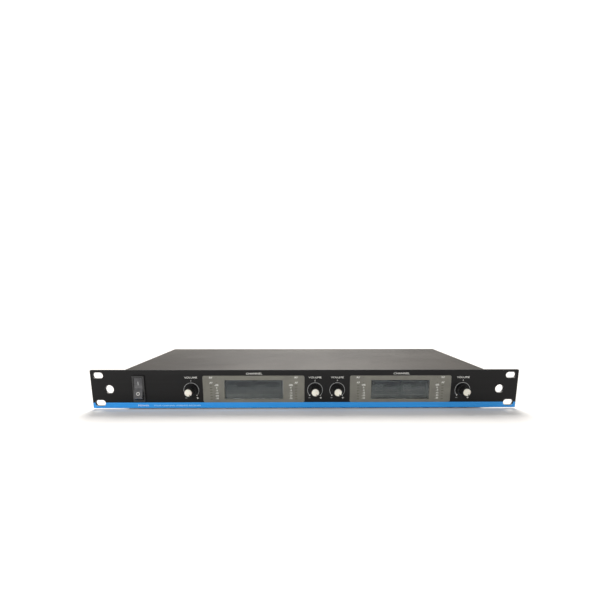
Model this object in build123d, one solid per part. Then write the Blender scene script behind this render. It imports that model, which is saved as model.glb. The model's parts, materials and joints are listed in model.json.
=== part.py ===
from build123d import *
import math
import os

# Four-channel wireless microphone receiver, one rack unit high, for a 19 inch rack.
# +X is to the right as seen from the front, +Y runs from the front to the back, +Z is up.
# The origin is under the middle of the object, on the surface that the feet stand on. Sizes in mm.

os.makedirs("parts", exist_ok=True)

# ---- driving dimensions: case and front panel ----
PANEL_W = 482.6
PANEL_H = 44.0
PANEL_T = 3.0
PANEL_LIFT = 1.5
CASE_W = 409.0
CASE_D = 180.0
CASE_H = 40.3
FOOT_H = 5.0
SHEET = 1.0
SLIDE_GAP = 0.2
REAR_FLANGE = 7.0
REAR_RECESS = 1.1
FLANGE_H = 12.0
KNOB_LENGTH = 14.0
CAP_R = 4.0

CASE_FRONT = -CASE_D / 2
CASE_BACK = CASE_D / 2
CASE_Z0 = FOOT_H
CASE_Z1 = FOOT_H + CASE_H
PANEL_FRONT = CASE_FRONT - PANEL_T
PANEL_Z0 = PANEL_LIFT
PANEL_Z1 = PANEL_LIFT + PANEL_H
PANEL_MID = (PANEL_Z0 + PANEL_Z1) / 2
FLOOR_TOP = CASE_Z0 + SHEET
WALL_OUT = CASE_BACK - REAR_RECESS
WALL_IN = WALL_OUT - SHEET
SUBWALL_BACK = CASE_FRONT + SHEET
BASE_HALF = CASE_W / 2 - SHEET - SLIDE_GAP
BASE_TOP = CASE_Z1 - SHEET - 0.1

# ---- rack ears ----
RACK_PITCH_X = 465.1
RACK_PITCH_Z = 31.75
RACK_SLOT_R = 3.5
RACK_SLOT_L = 11.5
EAR_HOLE_X = 221.0
EAR_HOLE_R = 4.85
PANEL_STUDS = [(-197.2, 10.0), (-197.2, 38.0), (23.5, 9.0), (23.5, 39.2), (197.2, 10.0), (197.2, 38.0)]

# ---- controls on the panel ----
KNOB_XS = [-128.9, 11.0, 36.1, 178.7]
KNOB_Z = 22.3
POINTER_DEG = 150.0
KNOB_RIBS = 20
SHAFT_R = 3.0
SHAFT_FIT = 0.05
BUSH_R = 3.5
NUT_POCKET_R = 6.0
PANEL_SKIN = 0.9
SWITCH_X = -187.6
SWITCH_Z = 24.35
SWITCH_PIVOT = 1.5
ROCKER_REST = -12.0
ARM_REST = 6.0

# ---- display windows ----
LENS_XS = [-58.3, 107.8]
LENS_Z = 23.6
LENS_W = 114.6
LENS_H = 30.8
LENS_T = 1.5
LENS_PROUD = 0.4
WINDOW_W = 108.0
WINDOW_H = 25.4
LCD_Z = 22.8
LCD_W = 65.4
LCD_H = 21.2
LCD_FRAME_W = 76.0
LCD_FRAME_H = 23.2
METER_OFFSET = 48.0
METER_ROWS = 6
METER_PITCH = 3.1
METER_TOP = 27.5
DISPLAY_BOARD_Y = -80.0
BOARD_T = 1.6

# ---- sockets on the rear wall, left to right as seen from the front is -X to +X ----
ANTENNA_XS = [-129.5, -73.0, 66.4, 124.6]
ANTENNA_Z = 19.5
XLR_XS = [-102.8, -14.9, 37.8, 96.1]
XLR_Z = 22.3
MIX_X = 10.8
DC_X = -43.6
JACK_Z = 18.9
REAR_TIP = -(PANEL_FRONT - KNOB_LENGTH)
XLR_BARREL_R = 10.9
XLR_CAVITY_R = 8.1
XLR_SCREW = (9.5, 12.0)
XLR_PIN_XZ = [(-3.65, 0.9), (3.65, 0.9), (0.0, -2.6)]
ANTENNA_THREAD_R = 6.2
MIX_BORE_R = 3.2

# ---- inside the case ----
MAIN_BOARD_Z = 12.0
MAIN_BOARD = (180.0, -60.0, 61.0)
CAN_SIZE = (42.0, 46.0, 13.0)
CAN_BACK = 58.0
FOOT_XS = (-155.0, 155.0)
FOOT_YS = (-72.0, 72.0)
REAR_COVER_SCREWS = [110.9, -112.3]
REAR_SCREW_Z = 41.3
SIDE_SCREW_YS = [-65.0, 0.0, 65.0]
SIDE_SCREW_Z = 12.0
BOARD_POSTS = [(x, y) for x in (-172.0, 0.0, 172.0) for y in (-52.0, 54.0)]
DISPLAY_POSTS = [(-150.0, 12.0), (-150.0, 36.0), (23.5, 24.0), (190.0, 24.0)]


def block(x0, x1, y0, y1, z0, z1):
    """Box between two corners."""
    return Pos((x0 + x1) / 2, (y0 + y1) / 2, (z0 + z1) / 2) * Box(x1 - x0, y1 - y0, z1 - z0)


def rod(radius, x, z, y0, y1):
    """Round bar along Y."""
    return Pos(x, (y0 + y1) / 2, z) * Rot(X=90) * Cylinder(radius, y1 - y0)


def post(radius, x, y, z0, z1):
    """Round bar along Z."""
    return Pos(x, y, (z0 + z1) / 2) * Cylinder(radius, z1 - z0)


def bar(radius, y, z, x0, x1):
    """Round bar along X."""
    return Pos((x0 + x1) / 2, y, z) * Rot(Y=90) * Cylinder(radius, x1 - x0)


def slab(outline, x, z, y0, y1):
    """An outline drawn as seen from the front, given thickness from depth y0 to depth y1."""
    return Pos(x, y1, z) * Rot(X=90) * extrude(outline, y1 - y0)


def hexagon(across_flats):
    """Hexagon with two level sides."""
    return RegularPolygon(across_flats / math.sqrt(3), 6)


def pan_screw(head_r, head_h, shank_r, length):
    """Pan head screw with a cross recess; the head's underside is at the origin, facing -Z."""
    head = Pos(0, 0, head_h / 2) * Cylinder(head_r, head_h)
    head = fillet(head.edges().group_by(Axis.Z)[-1], head_h * 0.45)
    wing = head_r * 1.25
    depth = head_h * 0.6
    arm = Pos(0, 0, head_h - depth / 2 + 0.01) * Box(wing, 0.8, depth)
    return head - arm - Rot(Z=90) * arm + Pos(0, 0, -length / 2) * Cylinder(shank_r, length)


def save(name, *solids):
    """Write one node; several solids make a group."""
    shape = solids[0] if len(solids) == 1 else Compound(children=list(solids))
    export_step(shape, f"parts/{name}.step")


def facing_front(x, z, y=PANEL_FRONT):
    """Local frame at a point of the panel: X right, Y up, Z out towards the user."""
    return Pos(x, y, z) * Rot(X=90)


# ---- front panel ----

def front_panel():
    """Rack panel with ears, slots, windows and control holes."""
    plate = block(-PANEL_W / 2, PANEL_W / 2, PANEL_FRONT, CASE_FRONT, PANEL_Z0, PANEL_Z1)
    plate = fillet(plate.edges().filter_by(Axis.Y), 1.0)
    plate = chamfer(plate.edges().group_by(Axis.Y)[0], 0.4)
    rack_slot = SlotOverall(RACK_SLOT_L, 2 * RACK_SLOT_R)
    for sx in (-1, 1):
        for sz in (-1, 1):
            plate -= slab(rack_slot, sx * RACK_PITCH_X / 2, PANEL_MID + sz * RACK_PITCH_Z / 2,
                          PANEL_FRONT - 1, CASE_FRONT + 1)
        plate -= rod(EAR_HOLE_R, sx * EAR_HOLE_X, PANEL_MID, PANEL_FRONT - 1, CASE_FRONT + 1)
    for x in LENS_XS:
        recess = RectangleRounded(LENS_W + 0.2, LENS_H + 0.2, 2.1)
        plate -= slab(recess, x, LENS_Z, PANEL_FRONT - 1, PANEL_FRONT + LENS_T - LENS_PROUD)
        plate -= slab(Rectangle(WINDOW_W, WINDOW_H), x, LENS_Z, PANEL_FRONT, CASE_FRONT + 1)
    for x in KNOB_XS:
        plate -= rod(SHAFT_R + 0.4, x, KNOB_Z, PANEL_FRONT - 1, CASE_FRONT)
        plate -= rod(NUT_POCKET_R, x, KNOB_Z, PANEL_FRONT + PANEL_SKIN, CASE_FRONT + 1)
    plate -= slab(Rectangle(12.2, 28.4), SWITCH_X, SWITCH_Z, PANEL_FRONT - 1, CASE_FRONT + 1)
    for x, z in PANEL_STUDS:
        plate -= rod(1.5, x, z, CASE_FRONT - 1.5, CASE_FRONT + 1)
    return plate


def panel_studs():
    """Studs pressed into the back of the panel."""
    return [rod(1.5, x, z, CASE_FRONT - 1.5, CASE_FRONT + 6) for x, z in PANEL_STUDS]


def panel_nuts():
    """Nuts that clamp the panel's studs to the sub-panel wall."""
    return [slab(hexagon(5.5) - Circle(1.52), x, z, SUBWALL_BACK, SUBWALL_BACK + 2.4)
            for x, z in PANEL_STUDS]


# ---- displays ----

def display_lens(x):
    """Tinted lens, set 0.4 mm proud of the panel."""
    lens = slab(RectangleRounded(LENS_W, LENS_H, 2.0), x, LENS_Z,
                PANEL_FRONT - LENS_PROUD, PANEL_FRONT - LENS_PROUD + LENS_T)
    return chamfer(lens.edges().group_by(Axis.Y)[0], 0.25)


def lcd_frame(x):
    """Metal frame with a window in its front lip, open at the back."""
    front = PANEL_FRONT + LENS_T
    frame = slab(Rectangle(LCD_FRAME_W, LCD_FRAME_H), x, LCD_Z, front, DISPLAY_BOARD_Y)
    frame -= slab(Rectangle(LCD_W, LCD_H), x, LCD_Z, front - 1, front + 1)
    frame -= slab(Rectangle(LCD_FRAME_W - 1.2, LCD_FRAME_H - 1.2), x, LCD_Z, front + 0.6, DISPLAY_BOARD_Y + 1)
    return frame


def lcd_glass(x):
    """Liquid crystal cell behind the frame's lip."""
    front = PANEL_FRONT + LENS_T + 0.65
    return slab(Rectangle(LCD_FRAME_W - 1.6, LCD_FRAME_H - 1.6), x, LCD_Z, front, front + 2.2)


def lcd_backlight(x):
    """Light guide block between the cell and the display board."""
    front = PANEL_FRONT + LENS_T + 2.9
    return slab(Rectangle(LCD_FRAME_W - 1.6, LCD_FRAME_H - 1.6), x, LCD_Z, front, DISPLAY_BOARD_Y - 0.05)


def meter_leds():
    """Four columns of upright LEDs on long legs, just behind the lenses."""
    leds = []
    tip = PANEL_FRONT + LENS_T + 0.1
    for lens_x in LENS_XS:
        for side in (-1, 1):
            x = lens_x + side * METER_OFFSET
            for row in range(METER_ROWS):
                z = METER_TOP - row * METER_PITCH
                led = slab(Rectangle(2.6, 1.6), x, z, tip, tip + 5)
                for leg in (-0.8, 0.8):
                    led += slab(Rectangle(0.5, 0.5), x + leg, z, tip + 5, DISPLAY_BOARD_Y)
                leds.append(led)
    return leds


def display_board():
    """Upright circuit board behind the panel."""
    board = block(-160.0, 196.0, DISPLAY_BOARD_Y, DISPLAY_BOARD_Y + BOARD_T, 8.5, 40.5)
    for x, z in DISPLAY_POSTS:
        board -= rod(1.6, x, z, DISPLAY_BOARD_Y - 1, DISPLAY_BOARD_Y + BOARD_T + 1)
    return board


# ---- volume controls: local Z = 0 is the panel's front face ----

def d_section(radius, z0, z1):
    """Round bar with one flat, as on a control shaft."""
    bar_shape = Pos(0, 0, (z0 + z1) / 2) * Cylinder(radius, z1 - z0)
    return bar_shape - Pos(0, radius + 1.5, (z0 + z1) / 2) * Box(3 * radius, 2 * radius, z1 - z0 + 1)


def pot_body():
    """Potentiometer case with its threaded bush."""
    wall = -(PANEL_T + SHEET)
    back = PANEL_FRONT - DISPLAY_BOARD_Y
    body = Pos(0, 0, (wall + back) / 2) * Box(11.0, 12.0, wall - back)
    body += Pos(0, 0, (wall - PANEL_SKIN) / 2) * Cylinder(BUSH_R, -PANEL_SKIN - wall)
    body -= Pos(0, 0, wall / 2 - 0.5) * Cylinder(SHAFT_R + SHAFT_FIT, 1 - wall)
    return body - Pos(0, 0, -7.25) * Cylinder(4.4, 4.5)


def pot_shaft():
    """Shaft with the wiper disc that keeps it in the case."""
    shaft = Pos(0, 0, -3.5) * Cylinder(SHAFT_R, 11.0)
    shaft += d_section(SHAFT_R, 2.0, KNOB_LENGTH - 3.0)
    return shaft + Pos(0, 0, -7.2) * Cylinder(4.1, 3.6)


def pot_nut():
    """Hexagon nut in the pocket behind the panel's skin."""
    return Pos(0, 0, -PANEL_T) * extrude(hexagon(9.0) - Circle(BUSH_R + 0.05), 2.0)


def rib_outline(radius, depth):
    """Closed outline with KNOB_RIBS square ribs."""
    points = []
    for rib in range(KNOB_RIBS):
        for part, r in ((0.0, radius - depth), (0.2, radius), (0.7, radius), (0.9, radius - depth)):
            angle = 2 * math.pi * (rib + part) / KNOB_RIBS
            points.append((r * math.cos(angle), r * math.sin(angle)))
    return Polygon(*points, align=None)


def knob_body():
    """Slim tapered knob with fine ribs, a smooth skirt and a seat for its cap."""
    rim = KNOB_LENGTH - 1.1
    ribs = loft([Pos(0, 0, 2.8) * rib_outline(5.7, 0.35), Pos(0, 0, rim) * rib_outline(4.9, 0.3)], ruled=True)
    skirt = Pos(0, 0, 1.65) * Cylinder(6.2, 2.3)
    skirt = chamfer(skirt.edges().group_by(Axis.Z)[-1], 0.4)
    knob = skirt + ribs
    knob -= Pos(0, 0, 1.2) * Cylinder(SHAFT_R + 0.02, 1.6)
    knob -= d_section(SHAFT_R + 0.02, 1.9, KNOB_LENGTH - 2.9)
    return knob - Pos(0, 0, rim) * Cylinder(CAP_R + 0.05, 1.4)


def knob_cap():
    """Domed disc with a pointer notch at its edge."""
    seat = KNOB_LENGTH - 1.8
    cap = Pos(0, 0, seat + 0.9) * Cylinder(CAP_R, 1.8)
    cap &= Pos(0, 0, KNOB_LENGTH - 12.0) * Sphere(12.0)
    notch = Pos(0, CAP_R - 0.6, KNOB_LENGTH) * Box(1.2, 2.2, 2.0)
    return cap - Rot(Z=-POINTER_DEG) * notch


# ---- power switch: local X up, local Y out towards the user, local Z right ----

SWITCH_FRAME = Plane(origin=(SWITCH_X, PANEL_FRONT + SWITCH_PIVOT, SWITCH_Z), x_dir=(0, 0, 1), z_dir=(1, 0, 0))
FULCRUM = -9.85
TERMINAL_US = (0.0, -6.0)


def switch_box(u, v0, v1, w):
    """Box of half-height u and half-width w between two depths of the switch frame."""
    return Pos(0, (v0 + v1) / 2, 0) * Box(2 * u, v1 - v0, 2 * w)


def switch_housing():
    """Snap-in housing with a raised bezel, an open front and side bearings."""
    bezel = switch_box(15.3, SWITCH_PIVOT, SWITCH_PIVOT + 1.8, 6.9)
    bezel = fillet(bezel.edges().filter_by(Axis.Y), 1.2)
    bezel = chamfer(bezel.edges().group_by(Axis.Y)[-1], 0.5)
    housing = bezel + switch_box(14.0, -15.5, SWITCH_PIVOT, 5.9)
    for side in (-1, 1):
        housing += Pos(side * 14.4, -5.0, 0) * Box(0.9, 4.6, 6.0)
    housing -= switch_box(12.9, -12.0, 4.0, 5.1)
    housing -= Cylinder(1.25, 11.5)
    for u in TERMINAL_US:
        housing -= Pos(u, -14.0, 0) * Box(0.84, 5.0, 4.84)
    return housing


def switch_rocker():
    """Rocker with two faces that meet at a shallow angle, on two trunnions."""
    crown = 3.2
    reach = 14.0
    rise = crown + reach * math.tan(math.radians(-ROCKER_REST))
    faces = Polygon((-reach, -3.0), (reach, -3.0), (reach, rise), (0, crown), (-reach, rise), align=None)
    rocker = Pos(0, 0, -4.8) * extrude(Circle(12.5) & faces, 9.6)
    rocker -= Pos(0, -2.5, 0) * Rot(X=90) * Cylinder(1.45, 3.4)
    for side in (-1, 1):
        rocker -= Pos(side * 6.2, -2.2, 0) * Box(7.4, 3.0, 6.4)
        rocker += Pos(0, 0, side * 5.2) * Cylinder(1.2, 1.0)
    return Rot(Z=ROCKER_REST) * rocker


def switch_plunger():
    """Plunger in the rocker, with a round tip over the contact arm."""
    tip = 1.4
    plunger = Pos(0, -4.2, 0) * Rot(X=90) * Cylinder(tip, 6.8)
    plunger += Pos(0, -9.0 + tip, 0) * Sphere(tip)
    return Rot(Z=ROCKER_REST) * plunger


def switch_contact_arm():
    """See-saw strip on the middle terminal."""
    arm = Pos(0, 0.25, 0) * Box(13.0, 0.5, 4.0)
    return Pos(0, FULCRUM, 0) * Rot(Z=ARM_REST) * arm


def switch_terminals():
    """The two blades: the fulcrum in the middle and the contact below it."""
    tops = (FULCRUM - 0.12, FULCRUM - 0.8)
    return [Pos(u, (top - 26.0) / 2, 0) * Box(0.8, top + 26.0, 4.8) for u, top in zip(TERMINAL_US, tops)]


# ---- sheet metal ----

def chassis_base():
    """Tray between the two upright walls: floor and two low side flanges."""
    base = block(-BASE_HALF, BASE_HALF, SUBWALL_BACK, WALL_IN, CASE_Z0, FLOOR_TOP)
    for side in (-1, 1):
        edge = side * BASE_HALF
        inner = edge - side * SHEET
        base += block(min(edge, inner), max(edge, inner), SUBWALL_BACK, WALL_IN, CASE_Z0, CASE_Z0 + FLANGE_H)
        for y in SIDE_SCREW_YS:
            base -= bar(1.5, y, SIDE_SCREW_Z, edge - 2, edge + 2)
    for x in FOOT_XS:
        for y in FOOT_YS:
            base -= post(1.6, x, y, CASE_Z0 - 1, FLOOR_TOP + 1)
    return base


def sub_panel():
    """Wall behind the front panel, with openings for the switch, control bushes, displays and studs."""
    wall = block(-BASE_HALF, BASE_HALF, CASE_FRONT, SUBWALL_BACK, CASE_Z0, BASE_TOP)
    y0 = CASE_FRONT - 1
    y1 = SUBWALL_BACK + 1
    wall -= slab(Rectangle(12.4, 28.6), SWITCH_X, SWITCH_Z, y0, y1)
    for x in KNOB_XS:
        wall -= rod(BUSH_R + 0.1, x, KNOB_Z, y0, y1)
    for x in LENS_XS:
        wall -= slab(Rectangle(WINDOW_W, WINDOW_H), x, LENS_Z, y0, y1)
    for x, z in PANEL_STUDS:
        wall -= rod(1.6, x, z, y0, y1)
    return wall


def rear_panel():
    """Wall that carries the sockets and takes the two rear cover screws."""
    wall = block(-BASE_HALF, BASE_HALF, WALL_IN, WALL_OUT, CASE_Z0, BASE_TOP)
    y0 = WALL_IN - 1
    y1 = WALL_OUT + 1
    for x in ANTENNA_XS:
        wall -= rod(ANTENNA_THREAD_R + 0.1, x, ANTENNA_Z, y0, y1)
    for x in XLR_XS:
        wall -= rod(XLR_BARREL_R + 0.1, x, XLR_Z, y0, y1)
        for side in (-1, 1):
            wall -= rod(1.6, x + side * XLR_SCREW[0], XLR_Z + side * XLR_SCREW[1], y0, y1)
    wall -= rod(4.5, MIX_X, JACK_Z, y0, y1)
    wall -= slab(Rectangle(9.2, 11.2), DC_X, JACK_Z, y0, y1)
    for x in REAR_COVER_SCREWS:
        wall -= rod(1.5, x, REAR_SCREW_Z, y0, y1)
    return wall


def top_cover():
    """Top and sides in one folded sheet, with a narrow flange round the rear wall."""
    cover = block(-CASE_W / 2, CASE_W / 2, CASE_FRONT, CASE_BACK, CASE_Z0, CASE_Z1)
    top_edges = cover.edges().filter_by(Axis.Y).group_by(Axis.Z)[-1]
    cover = fillet(top_edges, 1.4)
    half = CASE_W / 2 - SHEET
    hollow = block(-half, half, CASE_FRONT - 1, CASE_BACK - SHEET, CASE_Z0 - 1, CASE_Z1 - SHEET)
    cover -= fillet(hollow.edges().filter_by(Axis.Y).group_by(Axis.Z)[-1], 0.4)
    inner = CASE_W / 2 - REAR_FLANGE
    cover -= block(-inner, inner, CASE_BACK - 2, CASE_BACK + 1, CASE_Z0 - 1, CASE_Z1 - REAR_FLANGE)
    for x in REAR_COVER_SCREWS:
        cover -= rod(1.6, x, REAR_SCREW_Z, CASE_BACK - 2, CASE_BACK + 1)
    for side in (-1, 1):
        for y in SIDE_SCREW_YS:
            cover -= bar(1.6, y, SIDE_SCREW_Z, side * CASE_W / 2 - 2, side * CASE_W / 2 + 2)
    return cover


def cover_screws():
    """Two screws in the rear flange and three in each side."""
    screws = []
    for x in REAR_COVER_SCREWS:
        screws.append(Pos(x, CASE_BACK, REAR_SCREW_Z) * Rot(X=-90) * pan_screw(2.9, 1.7, 1.45, 6.0))
    for side in (-1, 1):
        for y in SIDE_SCREW_YS:
            place = Pos(side * CASE_W / 2, y, SIDE_SCREW_Z) * Rot(Y=side * 90)
            screws.append(place * pan_screw(2.9, 1.7, 1.45, 5.0))
    return screws


def rubber_foot(x, y):
    """Round foot with a counterbore for its screw."""
    foot = Pos(x, y, FOOT_H / 2) * Cone(9.0, 10.0, FOOT_H)
    foot -= post(4.2, x, y, -1.0, 2.6)
    return foot - post(1.7, x, y, 0, FOOT_H + 1)


def foot_screw(x, y):
    """Screw up through the foot and the floor."""
    return Pos(x, y, 2.6) * Rot(X=180) * pan_screw(3.2, 1.4, 1.5, 6.0)


# ---- antenna sockets ----

def antenna_socket(x):
    """Bayonet socket: inner flange, thread through the wall, slim barrel with two lugs."""
    body = slab(hexagon(14.2), x, ANTENNA_Z, WALL_IN - 2.5, WALL_IN)
    body += rod(ANTENNA_THREAD_R, x, ANTENNA_Z, WALL_IN, 94.6)
    body += rod(4.0, x, ANTENNA_Z, 80.0, WALL_IN - 2)
    barrel = rod(4.85, x, ANTENNA_Z, 94.0, REAR_TIP)
    body += chamfer(barrel.edges().group_by(Axis.Y)[-1], 0.4)
    body += bar(1.0, REAR_TIP - 4.6, ANTENNA_Z, x - 5.6, x + 5.6)
    body -= rod(2.5, x, ANTENNA_Z, 79.0, REAR_TIP + 1)
    return body - rod(4.05, x, ANTENNA_Z, REAR_TIP - 8.5, REAR_TIP + 1)


def antenna_washer(x):
    """Flat washer under the nut."""
    return slab(Circle(8.0) - Circle(ANTENNA_THREAD_R + 0.1), x, ANTENNA_Z, WALL_OUT, WALL_OUT + 0.8)


def antenna_nut(x):
    """Hexagon nut with a chamfered face, tightened by hand to no set angle."""
    turn = 7.0 * math.sin(x)
    nut = slab(Rot(Z=turn) * hexagon(14.2) - Circle(ANTENNA_THREAD_R + 0.05), x, ANTENNA_Z,
               WALL_OUT + 0.8, WALL_OUT + 4.0)
    face = Pos(x, WALL_OUT + 1.9, ANTENNA_Z) * Rot(X=-90) * Cone(10.0, 7.4, 4.2)
    return nut & face


def antenna_insulator(x):
    """White dielectric sleeve."""
    return slab(Circle(2.45) - Circle(0.9), x, ANTENNA_Z, 80.0, REAR_TIP - 1.4)


def antenna_contact(x):
    """Centre contact with a socket in its end and a solder tail."""
    return rod(0.85, x, ANTENNA_Z, 78.0, REAR_TIP - 1.6) - rod(0.45, x, ANTENNA_Z, 100.0, REAR_TIP)


# ---- balanced outputs ----

def xlr_housing(x):
    """Male three-pin output: flange behind the wall, barrel through it, latch notch on top."""
    flange = slab(RectangleRounded(26.0, 31.0, 3.0), x, XLR_Z, WALL_IN - 2.6, WALL_IN)
    body = flange + rod(XLR_BARREL_R, x, XLR_Z, WALL_IN - 1, CASE_BACK + 0.2)
    body += rod(10.4, x, XLR_Z, 71.0, WALL_IN - 2)
    body -= rod(XLR_CAVITY_R, x, XLR_Z, 75.5, CASE_BACK + 1)
    body -= block(x - 2.5, x + 2.5, 84.0, CASE_BACK + 1, XLR_Z + 7.0, XLR_Z + 11.5)
    for dx, dz in XLR_PIN_XZ:
        body -= rod(1.22, x + dx, XLR_Z + dz, 70.0, 76.0)
    for side in (-1, 1):
        body -= rod(1.5, x + side * XLR_SCREW[0], XLR_Z + side * XLR_SCREW[1], 80.0, CASE_BACK)
    return body


def xlr_pins(x):
    """Three contact pins with rounded ends."""
    pins = []
    for dx, dz in XLR_PIN_XZ:
        pin = rod(1.2, x + dx, XLR_Z + dz, 68.0, WALL_OUT)
        pins.append(fillet(pin.edges().group_by(Axis.Y)[-1], 0.8))
    return pins


def xlr_screws(x):
    """Two screws on opposite corners of the flange."""
    return [Pos(x + side * XLR_SCREW[0], WALL_OUT, XLR_Z + side * XLR_SCREW[1]) * Rot(X=-90)
            * pan_screw(2.5, 1.6, 1.45, 6.0) for side in (-1, 1)]


# ---- mix jack and power jack ----

def mix_jack_body():
    """Moulded jack body with spring slots above and below the bore."""
    body = block(MIX_X - 8.0, MIX_X + 8.0, 62.0, WALL_IN, JACK_Z - 7.5, JACK_Z + 7.5)
    body -= rod(3.4, MIX_X, JACK_Z, 64.0, WALL_IN + 1)
    body -= rod(4.42, MIX_X, JACK_Z, 84.0, WALL_IN + 1)
    for side in (-1, 1):
        z0, z1 = sorted((JACK_Z + side * 2.5, JACK_Z + side * 5.5))
        body -= block(MIX_X - 1.7, MIX_X + 1.7, 61.0, 80.0, z0, z1)
    return body


def mix_jack_ferrule():
    """Plated bush with the plug's bore."""
    ferrule = slab(Circle(4.4) - Circle(MIX_BORE_R), MIX_X, JACK_Z, 84.0, 91.0)
    return chamfer(ferrule.edges().group_by(Axis.Y)[-1], 0.3)


def mix_jack_nut():
    """Black ring nut with two spanner slots."""
    nut = slab(Circle(6.6) - Circle(4.45), MIX_X, JACK_Z, WALL_OUT, WALL_OUT + 1.5)
    return nut - block(MIX_X - 9.0, MIX_X + 9.0, WALL_OUT + 0.8, WALL_OUT + 2.0, JACK_Z - 0.7, JACK_Z + 0.7)


def mix_jack_contacts():
    """Two leaf springs clear of the bore, with tags behind the body."""
    springs = []
    for side in (-1, 1):
        z0, z1 = sorted((JACK_Z + side * 3.7, JACK_Z + side * 4.2))
        springs.append(block(MIX_X - 1.5, MIX_X + 1.5, 58.0, 79.0, z0, z1))
    return springs


def dc_jack_body():
    """Power jack: square front through the wall, round bore, wider block behind."""
    body = slab(RectangleRounded(9.0, 11.0, 0.8), DC_X, JACK_Z, WALL_IN - 1, WALL_OUT + 0.8)
    body += block(DC_X - 5.5, DC_X + 5.5, 74.0, WALL_IN, JACK_Z - 6.5, JACK_Z + 6.0)
    body -= rod(3.1, DC_X, JACK_Z + 0.6, 79.0, WALL_OUT + 2)
    return body - rod(1.02, DC_X, JACK_Z + 0.6, 73.0, 80.0)


def dc_jack_pin():
    """Centre pin with a rounded end."""
    pin = rod(1.0, DC_X, JACK_Z + 0.6, 72.0, WALL_OUT - 0.6)
    return fillet(pin.edges().group_by(Axis.Y)[-1], 0.6)


# ---- boards and wiring ----

def main_board():
    """Main circuit board on its posts."""
    half, y0, y1 = MAIN_BOARD
    board = block(-half, half, y0, y1, MAIN_BOARD_Z, MAIN_BOARD_Z + BOARD_T)
    for x, y in BOARD_POSTS:
        board -= post(1.6, x, y, MAIN_BOARD_Z - 1, MAIN_BOARD_Z + BOARD_T + 1)
    return board


def board_standoffs():
    """Hexagonal posts: six under the main board, four in front of the display board."""
    posts = []
    for x, y in BOARD_POSTS:
        tube = extrude(hexagon(5.5) - Circle(1.5), MAIN_BOARD_Z - FLOOR_TOP)
        posts.append(Pos(x, y, FLOOR_TOP) * tube)
    for x, z in DISPLAY_POSTS:
        posts.append(slab(hexagon(5.5) - Circle(1.5), x, z, SUBWALL_BACK, DISPLAY_BOARD_Y))
    return posts


def board_screws():
    """Screws that hold both boards to their posts."""
    screw = pan_screw(2.8, 1.7, 1.45, 5.0)
    screws = [Pos(x, y, MAIN_BOARD_Z + BOARD_T) * screw for x, y in BOARD_POSTS]
    for x, z in DISPLAY_POSTS:
        screws.append(Pos(x, DISPLAY_BOARD_Y + BOARD_T, z) * Rot(X=-90) * screw)
    return screws


def shield_can(x):
    """Tinned lid over one receiver, open underneath."""
    width, depth, height = CAN_SIZE
    top = MAIN_BOARD_Z + BOARD_T
    can = block(x - width / 2, x + width / 2, CAN_BACK - depth, CAN_BACK, top, top + height)
    return can - block(x - width / 2 + 0.5, x + width / 2 - 0.5, CAN_BACK - depth + 0.5, CAN_BACK - 0.5,
                       top - 1, top + height - 0.5)


def board_chips():
    """One receiver chip in each can, the processor, the audio converter and the regulator."""
    top = MAIN_BOARD_Z + BOARD_T
    chips = [block(x - 4.5, x + 4.5, 30.0, 39.0, top, top + 1.2) for x in ANTENNA_XS]
    chips.append(block(-10.0, 4.0, -27.0, -13.0, top, top + 1.4))
    chips.append(block(26.0, 36.0, -8.0, 2.0, top, top + 1.4))
    chips.append(block(-45.0, -35.0, -6.0, 9.0, top, top + 4.5))
    return chips


def filter_capacitors():
    """Three round capacitors beside the regulator."""
    top = MAIN_BOARD_Z + BOARD_T
    return [post(5.0, x, y, top, top + 12.5) for x, y in ((-40.0, 20.0), (-28.0, 20.0), (-40.0, 33.0))]


def tube(points, radii, radius):
    """Round lead along straight runs joined by tangent arcs."""
    path = FilletPolyline(*points, radius=radii)
    section = Plane(origin=path @ 0, z_dir=path % 0) * Circle(radius)
    print(f"lead radius {radius}, bends {radii}, length {path.length:.1f}")
    return sweep(section, path)


def antenna_lead(x):
    """Coaxial lead from a socket's tail to its can."""
    z = ANTENNA_Z
    points = [(x, 77.9, z), (x, 72.0, z), (x, 65.0, z + 1.5), (x, CAN_BACK + 0.1, z + 1.5)]
    return tube(points, [24.0, 24.0], 1.3)


def switch_leads():
    """Two leads from the switch blades to the main board."""
    start = PANEL_FRONT + SWITCH_PIVOT + 26.1
    end_z = MAIN_BOARD_Z + BOARD_T + 0.1
    upper = [(SWITCH_X, start, SWITCH_Z), (SWITCH_X, -54.0, 25.5), (-182.0, -42.0, 27.0),
             (-168.0, -32.0, 25.5), (-168.0, -32.0, end_z)]
    lower = [(SWITCH_X, start, SWITCH_Z - 6.0), (SWITCH_X, -55.0, 19.5), (-184.0, -41.0, 22.5),
             (-172.0, -25.0, 24.5), (-172.0, -25.0, end_z)]
    return [tube(upper, [18.0, 22.0, 5.0], 0.8), tube(lower, [30.0, 30.0, 4.6], 0.8)]


def ribbon_cable():
    """Flat cable from the display board down to the main board."""
    top = MAIN_BOARD_Z + BOARD_T + 0.6
    points = [(-15.0, DISPLAY_BOARD_Y + BOARD_T + 0.1, 26.0), (-15.0, -62.0, 26.0), (-15.0, -50.0, top + 1.5),
              (-15.0, -40.0, top)]
    path = FilletPolyline(*points, radius=[15.0, 13.0])
    section = Plane(origin=path @ 0, x_dir=(1, 0, 0), z_dir=path % 0) * Rectangle(30.0, 1.0)
    return sweep(section, path)


# ---- write every node ----

save("front_panel", front_panel())
save("panel_fixings", *panel_studs(), *panel_nuts())
for number, lens_x in enumerate(LENS_XS, 1):
    save(f"display_lens_{number}", display_lens(lens_x))
save("lcd_frames", *[lcd_frame(x) for x in LENS_XS])
save("lcd_glasses", *[lcd_glass(x) for x in LENS_XS])
save("lcd_backlights", *[lcd_backlight(x) for x in LENS_XS])
save("meter_leds", *meter_leds())
save("display_board", display_board())

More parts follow.
